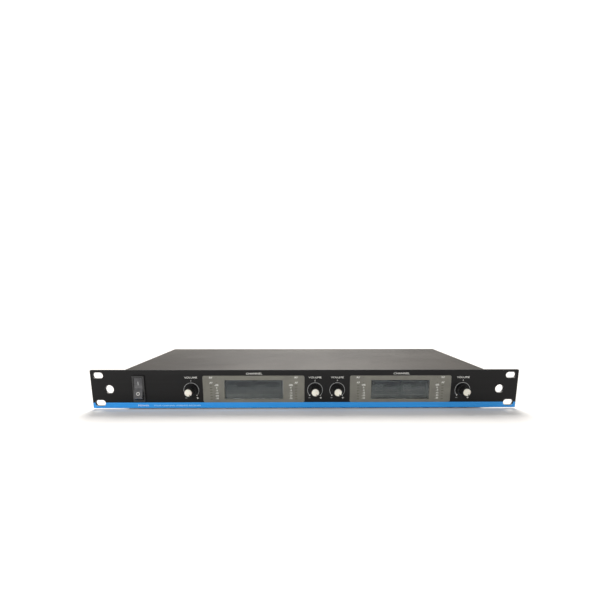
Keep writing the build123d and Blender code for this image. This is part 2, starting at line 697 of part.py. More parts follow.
save("volume_pots", *[facing_front(x, KNOB_Z) * pot_body() for x in KNOB_XS])
save("pot_nuts", *[facing_front(x, KNOB_Z) * pot_nut() for x in KNOB_XS])
for number, knob_x in enumerate(KNOB_XS, 1):
    save(f"pot_shaft_{number}", facing_front(knob_x, KNOB_Z) * pot_shaft())
    save(f"volume_knob_{number}", facing_front(knob_x, KNOB_Z) * knob_body())
    save(f"knob_cap_{number}", facing_front(knob_x, KNOB_Z) * knob_cap())

save("switch_housing", SWITCH_FRAME * switch_housing())
save("switch_rocker", SWITCH_FRAME * switch_rocker())
save("switch_plunger", SWITCH_FRAME * switch_plunger())
save("switch_contact_arm", SWITCH_FRAME * switch_contact_arm())
save("switch_terminals", *[SWITCH_FRAME * blade for blade in switch_terminals()])

save("chassis_base", chassis_base())
save("sub_panel", sub_panel())
save("rear_panel", rear_panel())
save("top_cover", top_cover())
save("cover_screws", *cover_screws())
FEET = [(x, y) for x in FOOT_XS for y in FOOT_YS]
save("rubber_feet", *[rubber_foot(x, y) for x, y in FEET])
save("foot_screws", *[foot_screw(x, y) for x, y in FEET])

save("antenna_sockets", *[antenna_socket(x) for x in ANTENNA_XS])
save("antenna_washers", *[antenna_washer(x) for x in ANTENNA_XS])
save("antenna_nuts", *[antenna_nut(x) for x in ANTENNA_XS])
save("antenna_insulators", *[antenna_insulator(x) for x in ANTENNA_XS])
save("antenna_contacts", *[antenna_contact(x) for x in ANTENNA_XS])
for number, xlr_x in enumerate(XLR_XS, 1):
    save(f"xlr_housing_{number}", xlr_housing(xlr_x))
save("xlr_pins", *[pin for x in XLR_XS for pin in xlr_pins(x)])
save("xlr_screws", *[screw for x in XLR_XS for screw in xlr_screws(x)])
save("mix_jack_body", mix_jack_body())
save("mix_jack_ferrule", mix_jack_ferrule())
save("mix_jack_nut", mix_jack_nut())
save("mix_jack_contacts", *mix_jack_contacts())
save("dc_jack_body", dc_jack_body())
save("dc_jack_pin", dc_jack_pin())

save("main_board", main_board())
save("board_standoffs", *board_standoffs())
save("board_screws", *board_screws())
save("shield_cans", *[shield_can(x) for x in ANTENNA_XS])
save("board_chips", *board_chips())
save("filter_capacitors", *filter_capacitors())
save("inner_leads", *[antenna_lead(x) for x in ANTENNA_XS], *switch_leads())
save("ribbon_cable", ribbon_cable())
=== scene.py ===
"""Looks of a one-unit, four-channel wireless microphone receiver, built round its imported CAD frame.

+X is to the right as seen from the front, +Y runs to the back and +Z is up. Lengths are given in
millimetres and multiplied by MM. Everything printed on the object is a generic word or number.
"""

import json
import math

import bmesh
import bpy
from mathutils import Matrix, Vector


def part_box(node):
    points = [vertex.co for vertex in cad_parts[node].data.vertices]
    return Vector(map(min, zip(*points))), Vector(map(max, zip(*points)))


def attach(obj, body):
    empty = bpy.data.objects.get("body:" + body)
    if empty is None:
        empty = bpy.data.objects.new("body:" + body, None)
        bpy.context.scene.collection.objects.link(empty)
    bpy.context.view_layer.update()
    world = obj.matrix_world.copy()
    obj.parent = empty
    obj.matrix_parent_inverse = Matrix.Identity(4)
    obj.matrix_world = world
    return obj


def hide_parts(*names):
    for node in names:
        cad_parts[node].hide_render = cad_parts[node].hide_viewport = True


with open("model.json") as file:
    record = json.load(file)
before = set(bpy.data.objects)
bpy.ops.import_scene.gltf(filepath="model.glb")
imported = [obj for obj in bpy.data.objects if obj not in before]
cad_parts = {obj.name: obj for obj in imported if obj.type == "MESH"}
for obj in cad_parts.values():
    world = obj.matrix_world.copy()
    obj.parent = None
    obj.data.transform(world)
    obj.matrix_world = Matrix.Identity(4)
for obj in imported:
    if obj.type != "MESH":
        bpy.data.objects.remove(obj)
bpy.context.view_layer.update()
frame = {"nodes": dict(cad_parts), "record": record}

MM = 0.001
INK = 0.03 * MM
SKIN = INK / MM
FILM = 0.02
FRONT = "front"
BACK = "back"
CHASSIS = "chassis"
SMOOTH_BELOW = math.radians(35)
SHARP_ABOVE = math.radians(40)
MOUNTS = {mount["name"]: Vector(mount["pos_m"]) for mount in frame["record"]["mounts"]}
RACK = {mount["name"]: mount["dims"] for mount in frame["record"]["mounts"]}["rack_slots"]
SLOTS = {part["node"]: part["material_slot"] for part in frame["record"]["subparts"]}


# ---- places, all read from the frame ----

def middle(node):
    """Centre of a CAD node's box."""
    low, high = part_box(node)
    return (low + high) / 2


PANEL_LOW, PANEL_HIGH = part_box("front_panel")
PANEL_FACE = PANEL_LOW.y
REAR_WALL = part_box("rear_panel")[1].y


def place(side, x, y, z):
    """Local frame on a face of the case: X right and Y up for someone who looks at it, Z towards them."""
    turn = Matrix.Rotation(math.pi / 2, 4, "X")
    if side == BACK:
        turn = Matrix.Rotation(math.pi, 4, "Z") @ turn
    return Matrix.Translation((x, y, z)) @ turn


def shifted(x, y, z=0.0):
    """Move within a local frame, in millimetres."""
    return Matrix.Translation((x * MM, y * MM, z * MM))


# ---- outlines: lists of (x, y) points in millimetres ----

def arc(radius, start, end, count, x=0.0, y=0.0):
    """Points on an arc, from start to end degrees."""
    angles = [math.radians(start + (end - start) * i / count) for i in range(count + 1)]
    return [(x + radius * math.cos(a), y + radius * math.sin(a)) for a in angles]


def circle(radius, x=0.0, y=0.0, count=48):
    return arc(radius, 0, 360, count, x, y)[:-1]


def rounded(width, height, radius, x=0.0, y=0.0, count=6):
    """Rectangle with rounded corners."""
    points = []
    for quarter, (sx, sy) in enumerate(((1, 1), (-1, 1), (-1, -1), (1, -1))):
        corner = (x + sx * (width / 2 - radius), y + sy * (height / 2 - radius))
        points += arc(radius, 90 * quarter, 90 * quarter + 90, count, *corner)
    return points


def box_outline(width, height, x=0.0, y=0.0):
    left, right = x - width / 2, x + width / 2
    low, high = y - height / 2, y + height / 2
    return [(left, low), (right, low), (right, high), (left, high)]


def arc_stroke(radius, width, start, end, count=48):
    """A curved line of some width."""
    outer = arc(radius + width / 2, start, end, count)
    inner = arc(radius - width / 2, end, start, count)
    return outer + inner


# ---- meshes ----

def mesh_of(data, kind):
    """Mesh of a curve or text, which is then thrown away."""
    holder = bpy.data.objects.new(kind, data)
    mesh = bpy.data.meshes.new_from_object(holder)
    bpy.data.objects.remove(holder)
    bpy.data.curves.remove(data)
    return mesh


def flat(outlines, depth, bevel=0.0, steps=2):
    """Plate cut to outlines, those inside others being holes, from Z = 0 to depth, with rounded edges."""
    curve = bpy.data.curves.new("flat", "CURVE")
    curve.dimensions = "2D"
    curve.fill_mode = "BOTH"
    curve.extrude = (depth / 2 - bevel) * MM
    curve.bevel_depth = bevel * MM
    curve.bevel_resolution = steps
    curve.offset = -bevel * MM
    for outline in outlines:
        spline = curve.splines.new("POLY")
        spline.points.add(len(outline) - 1)
        for point, (x, y) in zip(spline.points, outline):
            point.co = (x * MM, y * MM, 0, 1)
        spline.use_cyclic_u = True
    mesh = mesh_of(curve, "flat")
    mesh.transform(Matrix.Translation((0, 0, depth / 2 * MM)))
    return mesh


def words(text, tall, wide=None):
    """Lettering as a thin print, centred on the origin. tall is the height of a capital."""
    curve = bpy.data.curves.new("words", "FONT")
    curve.body = text
    curve.resolution_u = 3
    curve.extrude = 0.5
    mesh = mesh_of(curve, "words")
    xs = [v.co.x for v in mesh.vertices]
    ys = [v.co.y for v in mesh.vertices]
    up = tall * MM / (max(ys) - min(ys))
    across = wide * MM / (max(xs) - min(xs)) if wide else up
    centre = Vector(((max(xs) + min(xs)) / 2, (max(ys) + min(ys)) / 2, 0))
    mesh.transform(Matrix.Diagonal((across, up, INK, 1)) @ Matrix.Translation(-centre))
    mesh.transform(Matrix.Translation((0, 0, INK / 2)))
    return mesh


def turned(profile, segments=96, shape=None):
    """Profile of (radius, height) points turned about Z.

    shape takes an angle, radius and height, and gives a new radius and height.
    """
    work = bmesh.new()
    rings = []
    for radius, height in profile:
        ring = []
        for i in range(segments if radius else 1):
            angle = 2 * math.pi * i / segments
            r, h = shape(angle, radius, height) if shape and radius else (radius, height)
            ring.append(work.verts.new((r * math.cos(angle) * MM, r * math.sin(angle) * MM, h * MM)))
        rings.append(ring)
    for lower, upper in zip(rings, rings[1:]):
        for i in range(segments):
            j = (i + 1) % segments
            if len(lower) == 1:
                work.faces.new((lower[0], upper[i], upper[j]))
            elif len(upper) == 1:
                work.faces.new((lower[i], lower[j], upper[0]))
            else:
                work.faces.new((lower[i], lower[j], upper[j], upper[i]))
    bmesh.ops.recalc_face_normals(work, faces=work.faces)
    mesh = bpy.data.meshes.new("turned")
    work.to_mesh(mesh)
    work.free()
    return mesh


class Piece:
    """Collects meshes in one object, each with its own finish."""

    def __init__(self, name):
        self.name = name
        self.work = bmesh.new()
        self.finishes = []

    def add(self, mesh, where, finish, smooth=True):
        """Adds a mesh, moved by the matrix where."""
        if finish not in self.finishes:
            self.finishes.append(finish)
        mesh.transform(where)
        for face in mesh.polygons:
            face.material_index = self.finishes.index(finish)
            face.use_smooth = smooth
        self.work.from_mesh(mesh)
        bpy.data.meshes.remove(mesh)
        return self

    def mark(self, outlines, where, finish, depth=SKIN):
        """Adds a flat print cut to outlines."""
        return self.add(flat(outlines, depth), where, finish, smooth=False)

    def caption(self, text, tall, wide, where, finish):
        """Adds lettering of a height and width in millimetres."""
        return self.add(words(text, tall, wide), where, finish, smooth=False)

    def done(self, body=CHASSIS, replaces=()):
        """Makes the object and rides it on a body."""
        data = bpy.data.meshes.new(self.name)
        self.work.to_mesh(data)
        self.work.free()
        for finish in self.finishes:
            data.materials.append(finish)
        data.set_sharp_from_angle(angle=SMOOTH_BELOW)
        piece = bpy.data.objects.new(self.name, data)
        bpy.context.scene.collection.objects.link(piece)
        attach(piece, body)
        if replaces:
            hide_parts(*replaces)
        return piece


def softened(node, name, width, finish):
    """Stands for a CAD node of the chassis with the same shape, its sharp edges rounded."""
    work = bmesh.new()
    work.from_mesh(frame["nodes"][node].data)
    bmesh.ops.remove_doubles(work, verts=work.verts, dist=0.002 * MM)
    bmesh.ops.dissolve_limit(work, angle_limit=math.radians(0.5), verts=work.verts, edges=work.edges)
    data = bpy.data.meshes.new(name)
    work.to_mesh(data)
    work.free()
    data.materials.clear()
    data.materials.append(finish)
    for face in data.polygons:
        face.material_index = 0
        face.use_smooth = True
    if "custom_normal" in data.attributes:
        data.attributes.remove(data.attributes["custom_normal"])
    data.set_sharp_from_angle(angle=SHARP_ABOVE)
    piece = bpy.data.objects.new(name, data)
    bpy.context.scene.collection.objects.link(piece)
    bevel = piece.modifiers.new("edges", "BEVEL")
    bevel.width = width * MM
    bevel.segments = 2
    bevel.limit_method = "ANGLE"
    bevel.angle_limit = SHARP_ABOVE
    bevel.harden_normals = True
    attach(piece, CHASSIS)
    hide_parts(node)
    return piece


# ---- finishes ----

def colour(code):
    """Linear RGBA of a hex colour."""
    parts = [int(code[i:i + 2], 16) / 255 for i in (1, 3, 5)]
    linear = [p / 12.92 if p <= 0.04045 else ((p + 0.055) / 1.055) ** 2.4 for p in parts]
    return (*linear, 1.0)


class Finish:
    """One material's nodes, with short names for what the finishes share."""

    def __init__(self, name, **sockets):
        self.material = bpy.data.materials.new(name)
        self.material.use_nodes = True
        self.tree = self.material.node_tree
        self.shader = self.tree.nodes["Principled BSDF"]
        self.here = self.node("ShaderNodeTexCoord").outputs["Object"]
        self.relief = None
        for socket, value in sockets.items():
            self.shader.inputs[socket.replace("_", " ")].default_value = value

    def node(self, kind, **settings):
        made = self.tree.nodes.new(kind)
        for key, value in settings.items():
            setattr(made, key, value)
        return made

    def feed(self, socket, value):
        """Links a node's output, or sets a plain value."""
        if isinstance(value, bpy.types.NodeSocket):
            self.tree.links.new(value, socket)
        else:
            socket.default_value = value

    def calc(self, operation, first, second=0.0):
        made = self.node("ShaderNodeMath", operation=operation)
        self.feed(made.inputs[0], first)
        self.feed(made.inputs[1], second)
        return made.outputs[0]

    def stretched(self, x, y, z):
        """Coordinates with a different scale along each axis."""
        made = self.node("ShaderNodeVectorMath", operation="MULTIPLY")
        self.feed(made.inputs[0], self.here)
        made.inputs[1].default_value = (x, y, z)
        return made.outputs[0]

    def noise(self, scale, detail=3.0, where=None):
        made = self.node("ShaderNodeTexNoise")
        self.feed(made.inputs["Vector"], where or self.here)
        made.inputs["Scale"].default_value = scale
        made.inputs["Detail"].default_value = detail
        return made.outputs[0]

    def cells(self, scale):
        made = self.node("ShaderNodeTexVoronoi")
        self.feed(made.inputs["Vector"], self.here)
        made.inputs["Scale"].default_value = scale
        return made.outputs["Distance"]

    def spread(self, source, low, high, start=0.3, end=0.7):
        """Maps the part of a pattern between start and end to low and high."""
        made = self.node("ShaderNodeMapRange")
        self.feed(made.inputs["Value"], source)
        for key, value in (("From Min", start), ("From Max", end), ("To Min", low), ("To Max", high)):
            made.inputs[key].default_value = value
        return made.outputs[0]

    def blend(self, share, first, second):
        made = self.node("ShaderNodeMix", data_type="RGBA")
        self.feed(made.inputs[0], share)
        self.feed(made.inputs[6], first)
        self.feed(made.inputs[7], second)
        return made.outputs[2]

    def bump(self, height, depth):
        """Adds relief of some depth in millimetres."""
        made = self.node("ShaderNodeBump")
        made.inputs["Strength"].default_value = 1.0
        made.inputs["Distance"].default_value = depth * MM
        self.feed(made.inputs["Height"], height)
        if self.relief is not None:
            self.feed(made.inputs["Normal"], self.relief)
        self.relief = made.outputs[0]

    def worn_edges(self, width, gain=6.0):
        """1 along sharp edges and 0 on open faces, broken up by noise: the mask for rubbed wear and for
        painted highlights along edges.
        """
        bevel = self.node("ShaderNodeBevel", samples=4)
        bevel.inputs["Radius"].default_value = width * MM
        flat_normal = self.node("ShaderNodeNewGeometry").outputs["Normal"]
        dot = self.node("ShaderNodeVectorMath", operation="DOT_PRODUCT")
        self.feed(dot.inputs[0], bevel.outputs[0])
        self.feed(dot.inputs[1], flat_normal)
        edge = self.calc("MULTIPLY", self.calc("SUBTRACT", 1.0, dot.outputs["Value"]), gain)
        patchy = self.spread(self.noise(900, 4), 0.0, 1.0, 0.35, 0.65)
        return self.calc("MINIMUM", self.calc("MULTIPLY", edge, patchy), 1.0)

    def paint(self, base, roughness):
        """Links the finished patterns to the shader."""
        self.feed(self.shader.inputs["Base Color"], base)
        self.feed(self.shader.inputs["Roughness"], roughness)
        if self.relief is not None:
            self.feed(self.shader.inputs["Normal"], self.relief)
        return self.material


def brushed_black():
    """Black anodised panel with long horizontal brush lines."""
    f = Finish("brushed_black", Specular_IOR_Level=0.2)
    lines = f.noise(1.0, 4, f.stretched(9, 400, 2300))
    broad = f.noise(1.0, 2, f.stretched(3, 60, 160))
    base = f.blend(f.spread(lines, 0, 1), colour("#0a0a0b"), colour("#141415"))
    base = f.blend(f.spread(broad, 0, 0.35), base, colour("#19191a"))
    # Pale line along the chamfers and slot edges: painted highlight where the edges catch the light.
    base = f.blend(f.worn_edges(0.35), base, colour("#6f6f70"))
    f.bump(lines, 0.012)
    return f.paint(base, f.spread(lines, 0.30, 0.46))


def powder_coat(name, dark, light, gloss, **sockets):
    """Baked powder paint: fine orange peel, a little dust and rubbed edges."""
    f = Finish(name, **sockets)
    peel = f.cells(950)
    grain = f.noise(2600, 3)
    patches = f.noise(9, 4)
    base = f.blend(f.spread(patches, 0, 1, 0.35, 0.65), colour(dark), colour(light))
    dust = f.spread(f.noise(420, 2), 0.0, 0.25, 0.66, 0.74)
    base = f.blend(dust, base, colour("#6a6660"))
    base = f.blend(f.worn_edges(0.4, 4), base, colour("#77736c"))
    f.bump(peel, 0.03)
    f.bump(grain, 0.015)
    return f.paint(base, f.spread(f.noise(26, 3), gloss - 0.02, gloss + 0.03))


def plastic(name, dark, light, gloss, grain=0.02, wear_and_highlight_gain=3, **sockets):
    """Moulded plastic with a fine spark-eroded grain and pale edges: rubbed wear at a low gain, a painted
    highlight along the edges at a high gain.
    """
    f = Finish(name, **sockets)
    base = f.blend(f.spread(f.noise(160, 3), 0, 1), colour(dark), colour(light))
    base = f.blend(f.worn_edges(0.2, wear_and_highlight_gain), base, f.blend(0.55, colour(light), colour("#a9a9a6")))
    f.bump(f.noise(3800, 2), grain)
    return f.paint(base, f.spread(f.noise(500, 3), gloss - 0.05, gloss + 0.07))


def metal(name, dark, light, gloss):
    """Plated or turned metal with fine scratches and a little tarnish."""
    f = Finish(name, Metallic=1.0)
    lines = f.noise(1.0, 4, f.stretched(2500, 700, 400))
    stain = f.noise(240, 4)
    base = f.blend(f.spread(stain, 0, 1, 0.3, 0.65), colour(light), colour(dark))
    f.bump(lines, 0.008)
    return f.paint(base, f.spread(lines, gloss - 0.05, gloss + 0.12))


def ink(name, thick, thin):
    """Screen print: an even film with slightly thin patches."""
    f = Finish(name, Specular_IOR_Level=0.4)
    base = f.blend(f.spread(f.noise(700, 4), 0, 1), colour(thin), colour(thick))
    f.bump(f.noise(2500, 2), 0.004)
    return f.paint(base, f.spread(f.noise(300, 2), 0.38, 0.52))


def band_ink():
    """Blue band, printed over the brushed metal, so the brush lines show through."""
    f = Finish("print_blue", Specular_IOR_Level=0.5)
    lines = f.noise(1.0, 3, f.stretched(9, 400, 2300))
    broad = f.noise(1.0, 3, f.stretched(7, 7, 50))
    base = f.blend(f.spread(lines, 0, 1), colour("#1f86d3"), colour("#2f97e4"))
    base = f.blend(f.spread(broad, 0, 0.5), base, colour("#1a7ec0"))
    f.bump(lines, 0.006)
    return f.paint(base, f.spread(lines, 0.32, 0.46))


def lens_film():
    """Grey printed lens: satin, with a faint mottled print under a hard coat."""
    f = Finish("lens_film", Specular_IOR_Level=0.5, Coat_Weight=0.3, Coat_Roughness=0.18)
    mottle = f.noise(75, 4)
    base = f.blend(f.spread(mottle, 0, 1), colour("#5b5a53"), colour("#68675e"))
    # Pale line along the plate's cut edges, round the window and the lights: painted highlight.
    base = f.blend(f.worn_edges(0.5, 3), base, colour("#aaa99f"))
    f.bump(f.noise(1500, 2), 0.006)
    return f.paint(base, f.spread(f.noise(220, 3), 0.38, 0.5))


def lcd_cell():
    """Switched-off liquid crystal cell, grey-green, with painted shade that darkens it to blue-black
    towards the upper edge, where the window's recess shades it.
    """
    f = Finish("lcd_cell", Specular_IOR_Level=0.12)
    low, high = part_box("lcd_glasses")
    height = f.node("ShaderNodeSeparateXYZ")
    f.feed(height.inputs[0], f.here)
    # The lower edge of the painted shade wavers a little.
    painted_shade_wobble = f.spread(f.noise(16, 2, f.stretched(1, 1, 2)), -0.004, 0.004)
    level = f.calc("ADD", height.outputs[2], painted_shade_wobble)
    # Painted shade: the grey-green cell fades to blue-black between a third of the way up the glass and
    # near its top.
    share = f.spread(level, 1, 0, low.z + 0.35 * (high.z - low.z), high.z - 0.1 * (high.z - low.z))
    base = f.blend(share, colour("#262b33"), colour("#5c605e"))
    base = f.blend(f.spread(f.noise(130, 3), 0, 0.3), base, colour("#4b5152"))
    f.bump(f.noise(900, 2), 0.002)
    return f.paint(base, f.spread(f.noise(60, 2), 0.12, 0.2))


def clear_pane():
    """Clear acrylic window with a trace of haze."""
    f = Finish("clear_pane", Transmission_Weight=1.0, IOR=1.25)
    base = f.blend(f.spread(f.noise(90, 2), 0, 1), colour("#e3e6e8"), colour("#eef0f1"))
    return f.paint(base, f.spread(f.noise(140, 3), 0.02, 0.07))


def rubber():
    f = Finish("rubber", Specular_IOR_Level=0.3)
    base = f.blend(f.spread(f.noise(300, 4), 0, 1), colour("#121212"), colour("#1f1e1d"))
    base = f.blend(f.worn_edges(0.8, 3), base, colour("#3c3a37"))
    f.bump(f.cells(1400), 0.04)
    return f.paint(base, f.spread(f.noise(200, 3), 0.68, 0.86))


def circuit_board():
    """Green solder mask over a pattern of copper tracks."""
    f = Finish("circuit_board", Specular_IOR_Level=0.5)
    tracks = f.node("ShaderNodeTexBrick", offset=0.35, squash=0.7)
    f.feed(tracks.inputs["Vector"], f.stretched(1, 0.6, 1.4))
    tracks.inputs["Scale"].default_value = 160
    tracks.inputs["Mortar Size"].default_value = 0.035
    base = f.blend(tracks.outputs["Fac"], colour("#0d3d22"), colour("#1d6a3a"))
    base = f.blend(f.spread(f.cells(700), 0.6, 0.0, 0.02, 0.06), base, colour("#b8a468"))
    f.bump(tracks.outputs["Fac"], 0.03)
    return f.paint(base, f.spread(f.noise(400, 2), 0.28, 0.42))


def ribbed_cable():
    """Grey ribbon of parallel wires."""
    f = Finish("ribbed_cable", Specular_IOR_Level=0.4)
    wires = f.node("ShaderNodeTexWave", wave_type="BANDS", bands_direction="X")
    f.feed(wires.inputs["Vector"], f.here)
    wires.inputs["Scale"].default_value = 125
    base = f.blend(f.spread(wires.outputs["Fac"], 0, 1), colour("#77767a"), colour("#a3a2a5"))
    f.bump(wires.outputs["Fac"], 0.3)
    return f.paint(base, f.spread(f.noise(200, 2), 0.45, 0.6))


def paper():
    """Label stock with a faint fibre."""
    f = Finish("paper", Specular_IOR_Level=0.3)
    base = f.blend(f.spread(f.noise(900, 4), 0, 1), colour("#d9d7d0"), colour("#efeee9"))
    f.bump(f.noise(1800, 3), 0.01)
    return f.paint(base, f.spread(f.noise(300, 3), 0.55, 0.7))


WHITE_INK = ink("print_white", "#e8e8e4", "#c9c9c5")
DIM_INK = ink("print_grey", "#a4a6a6", "#8b8d8d")
PALE_BLUE_INK = ink("print_pale_blue", "#bfe0f2", "#9ccbe6")
BLUE_INK = band_ink()
LENS_FILM = lens_film()
LENS_TINT = plastic("lens_tint", "#55544c", "#605f56", 0.2, 0.002)
GHOST = ink("lcd_ghost", "#666b69", "#5f6463")
KNOB_BLACK = plastic("knob_black", "#0b0b0c", "#161617", 0.36)
CAP_WHITE = plastic("cap_white", "#cbc9bd", "#d8d6cb", 0.34, 0.01,
                    Subsurface_Weight=0.08, Subsurface_Scale=0.002)
SWITCH_BLACK = plastic("switch_black", "#1a1a1b", "#262627", 0.32)
ROCKER_GREY = plastic("rocker_grey", "#464648", "#565658", 0.2, 0.004)
PAPER = paper()
CLEAR_PANE = clear_pane()

FINISHES = {
    "panel_black": brushed_black(),
    "zinc": metal("zinc", "#8f8f8a", "#c4c4bd", 0.32),
    "lens_smoke": LENS_FILM,
    "tinplate": metal("tinplate", "#8b8c8c", "#b4b5b4", 0.3),
    "lcd_glass": lcd_cell(),
    "light_guide": plastic("light_guide", "#cfd3d4", "#e6e9e9", 0.22, 0.004),
    "led_plastic": plastic("led_plastic", "#8d8375", "#a99e8d", 0.2, 0.004),
    "circuit_board": circuit_board(),
    "pot_case": metal("pot_case", "#8a8d90", "#b9bcbe", 0.36),
    "shaft_steel": metal("shaft_steel", "#8c8c8c", "#bdbdbd", 0.28),
    "knob_black": KNOB_BLACK,
    "cap_white": CAP_WHITE,
    "switch_black": SWITCH_BLACK,
    "rocker_grey": ROCKER_GREY,
    "contact_brass": metal("contact_brass", "#8f6a2c", "#c79a4a", 0.28),
    "case_paint": powder_coat("case_paint", "#26282b", "#303236", 0.44),
    "cover_paint": powder_coat("cover_paint", "#343230", "#403d39", 0.32, Specular_IOR_Level=0.11),
    "screw_steel": metal("screw_steel", "#7d7f82", "#c5c7c9", 0.26),
    "foot_rubber": rubber(),
    "nickel": metal("nickel", "#8d877b", "#cdc8bd", 0.2),
    "ptfe": plastic("ptfe", "#dcdad2", "#f1f0ea", 0.4, 0.01),
    # The high edge gain paints a pale highlight ring round the rims of the socket shells.
    "xlr_black": plastic("xlr_black", "#1b1c1e", "#2a2b2e", 0.3, 0.006, 24),
    "pin_silver": metal("pin_silver", "#9fa1a2", "#dfe0e0", 0.18),
    "chip_black": plastic("chip_black", "#17181a", "#232427", 0.5),
    "capacitor": plastic("capacitor", "#14222f", "#1d3042", 0.3, 0.004),
    "lead_black": plastic("lead_black", "#121213", "#1d1d1e", 0.42, 0.01),
    "ribbon_grey": ribbed_cable(),
}

for node, item in frame["nodes"].items():
    item.data.materials.clear()
    item.data.materials.append(FINISHES[SLOTS[node]])


# ---- front panel prints ----

BAND_TOP = 8.1
BAND_MARGIN = 0.45
PANEL_CORNER = 1.2
PANEL_CHAMFER = 0.4


def band_outline():
    """Band along the panel's lower edge, with the two lower rack slots cut out of it."""
    slot_x = RACK["spacing_x_mm"] / 2
    slot_z = (PANEL_LOW.z + PANEL_HIGH.z) / 2 / MM - RACK["spacing_y_mm"] / 2
    reach = RACK["hole_r_mm"] + 0.15
    straight = RACK["slot_length_mm"] / 2 - RACK["hole_r_mm"]
    lift = math.degrees(math.asin((BAND_TOP - slot_z) / reach))
    half = PANEL_HIGH.x / MM - BAND_MARGIN
    low = PANEL_LOW.z / MM + BAND_MARGIN
    points = []
    for centre in (-slot_x, slot_x):
        points += arc(reach, 180 - lift, 270, 16, centre - straight, slot_z)
        points += arc(reach, 270, 360 + lift, 16, centre + straight, slot_z)
    points += [(half, BAND_TOP), (half, low), (-half, low), (-half, BAND_TOP)]
    return points


def lower_edge():
    """Strip of the band that wraps the panel's lower chamfer."""
    half = PANEL_HIGH.x - PANEL_CORNER * MM
    corners = []
    for lift, inset in ((BAND_MARGIN, 0.0), (0.0, PANEL_CHAMFER)):
        y = PANEL_LOW.y + inset * MM - INK
        z = PANEL_LOW.z + lift * MM - INK / 2
        corners += [(-half, y, z), (half, y, z), (half, y + INK, z + INK), (-half, y + INK, z + INK)]
    faces = [(0, 1, 5, 4), (3, 7, 6, 2), (0, 4, 7, 3), (1, 2, 6, 5), (0, 3, 2, 1), (4, 5, 6, 7)]
    mesh = bpy.data.meshes.new("lower_edge")
    mesh.from_pydata(corners, [], faces)
    return mesh


def front_band():
    """Blue band with the switch's caption and a plain description in white."""
    face = place(FRONT, 0, PANEL_FACE, 0)
    band = Piece("print_band")
    band.mark([band_outline()], face, BLUE_INK)
    band.add(lower_edge(), Matrix.Identity(4), BLUE_INK, smooth=False)
    band.done()
    over_band = place(FRONT, 0, PANEL_FACE - INK, 0)
    captions = Piece("print_band_captions")
    captions.caption("POWER", 1.9, 12.4, over_band @ shifted(-184.0, 4.6), WHITE_INK)
    captions.caption("FOUR CHANNEL WIRELESS RECEIVER", 1.5, 53.0, over_band @ shifted(-145.5, 4.5),
                     PALE_BLUE_INK)
    captions.done()


TRAVEL_R = 8.5
TRAVEL_ENDS = (-45, 225)
SIGN_X = (-6.3, 6.6)
SIGN_Y = -9.0


def knob_print(number):
    """Heading, channel number, travel arc and minus and plus signs round one volume knob."""
    centre = middle(f"volume_knob_{number}")
    face = place(FRONT, centre.x, PANEL_FACE, centre.z)
    piece = Piece(f"print_volume_{number}")
    piece.caption("VOLUME", 2.0, 14.4, face @ shifted(0, 14.6), WHITE_INK)
    piece.caption(str(number), 1.8, None, face @ shifted(0, 11.0), WHITE_INK)
    piece.mark([arc_stroke(TRAVEL_R, 0.45, *TRAVEL_ENDS)], face, DIM_INK)
    for angle in TRAVEL_ENDS:
        dot = (TRAVEL_R * math.cos(math.radians(angle)), TRAVEL_R * math.sin(math.radians(angle)))
        piece.mark([circle(0.65, *dot, count=20)], face, WHITE_INK)
    piece.mark([box_outline(2.2, 0.5, SIGN_X[0], SIGN_Y)], face, DIM_INK)
    piece.mark([box_outline(2.2, 0.6, SIGN_X[1], SIGN_Y)], face, WHITE_INK)
    for side in (-1, 1):
        piece.mark([box_outline(0.6, 0.8, SIGN_X[1], SIGN_Y + side * 0.7)], face, WHITE_INK)
    piece.done()


# ---- display lenses ----

WINDOW = (66.2, 22.0)
METER_X = 48.0
SCALE_X = 41.8
METER_TOP = 27.5
METER_PITCH = 3.1
METER_ROWS = 6
LIGHT_LEVELS = {"RF": 13.3, "AF": 7.4}
SCALE_TOP = 4.7
SCALE_PITCH = 3.08
SCALE_MARKS = [("dB", 4.2), ("0", 1.3), ("-5", 2.3), ("-10", 3.3), ("-20", 3.6), ("-30", 3.6)]


def lens_openings():
    """Outlines of the display window, the meter bars and the two pilot lights, round the lens centre."""
    drop = (middle("lcd_frames").z - middle("display_lens_1").z) / MM
    level = METER_TOP - middle("display_lens_1").z / MM
    window = rounded(*WINDOW, 0.5, 0, drop)
    bars = []
    for side in (-1, 1):
        for row in range(METER_ROWS):
            bars.append(rounded(2.8, 1.3, 0.3, side * METER_X, level - row * METER_PITCH, 3))
        for height in LIGHT_LEVELS.values():
            bars.append(circle(0.6, side * SCALE_X, height, 20))
    return window, bars


def lens(number):
    """Printed lens with a clear window over the display and dim lights at both ends."""
    node = f"display_lens_{number}"
    low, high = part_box(node)
    centre = (low + high) / 2
    size = (high - low) / MM
    window, bars = lens_openings()
    back_face = place(FRONT, centre.x, high.y, centre.z)
    film = Piece(f"lens_plate_{number}")
    outer = rounded(size.x, size.z, 2.0, count=10)
    film.add(flat([outer, window, *bars], size.y, 0.2), back_face, LENS_FILM)
    film.done(replaces=[node])
    lights = Piece(f"lens_lights_{number}")
    for bar in bars:
        lights.add(flat([bar], size.y - 0.25, 0.08, 1), back_face, LENS_TINT)
    lights.done()
    pane = Piece(f"lens_window_{number}")
    drop = (middle("lcd_frames").z - centre.z) / MM
    pane.add(flat([rounded(WINDOW[0] - 0.2, WINDOW[1] - 0.2, 0.4, 0, drop)], 0.8, 0.08, 1),
             back_face @ shifted(0, 0, 0.3), CLEAR_PANE)
    pane.done()
    lens_print(number, place(FRONT, centre.x, low.y, centre.z), centre)


